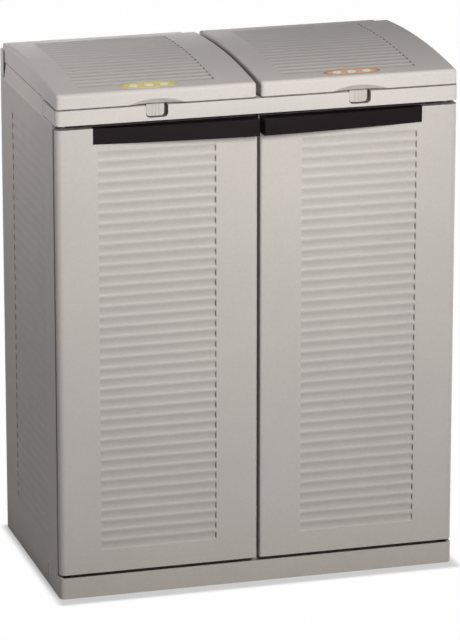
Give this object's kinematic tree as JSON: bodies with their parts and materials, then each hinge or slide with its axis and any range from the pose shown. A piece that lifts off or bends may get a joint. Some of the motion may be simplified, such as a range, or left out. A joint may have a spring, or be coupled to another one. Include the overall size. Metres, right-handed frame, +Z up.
{
  "type": "double recycling bin",
  "caption": "Floor cabinet for sorted waste: side-hinged doors with grooved faces with black grips, crowned rear-hinged lids with finger arches, and bag rings beneath the lids.",
  "frame": {"origin": "on the floor, under the centre of the whole object, grips included", "axes": "+X to the right seen from the doors, +Y to the back, +Z up"},
  "size_m": [0.68, 0.4049, 0.868],
  "materials": {
    "cabinet_plastic": "fine-grained satin",
    "door_plastic": "fine-grained satin",
    "lid_plastic": "fine-grained satin",
    "black_plastic": "satin",
    "dark_plastic": "satin"
  },
  "bodies": {
    "cabinet": {"base": "cabinet_plastic", "back_panel": "cabinet_plastic", "top_frame": "cabinet_plastic", "side_panel_left": "cabinet_plastic", "side_panel_right": "cabinet_plastic", "bag_ring_left": "dark_plastic", "door_clip_left": "dark_plastic", "bag_ring_right": "dark_plastic", "door_clip_right": "dark_plastic"},
    "door_left": {"door_left": "door_plastic", "door_grip_left": "black_plastic"},
    "lid_left": {"lid_left": "lid_plastic", "lid_catch_left": "lid_plastic"},
    "door_right": {"door_right": "door_plastic", "door_grip_right": "black_plastic"},
    "lid_right": {"lid_right": "lid_plastic", "lid_catch_right": "lid_plastic"}
  },
  "joints": [
    {"name": "lid_left_hinge", "type": "hinge", "parent": "cabinet", "child": "lid_left", "pos_m": [-0.17125, 0.1865, 0.84549], "axis": [-1, 0, 0], "range_deg": [0, 95]},
    {"name": "lid_right_hinge", "type": "hinge", "parent": "cabinet", "child": "lid_right", "pos_m": [0.17125, 0.1865, 0.84549], "axis": [-1, 0, 0], "range_deg": [0, 95]},
    {"name": "door_left_hinge", "type": "hinge", "parent": "cabinet", "child": "door_left", "pos_m": [-0.33, -0.1725, 0.4195], "axis": [0, 0, -1], "range_deg": [0, 110]},
    {"name": "door_right_hinge", "type": "hinge", "parent": "cabinet", "child": "door_right", "pos_m": [0.33, -0.1725, 0.4195], "axis": [0, 0, 1], "range_deg": [0, 110]}
  ]
}
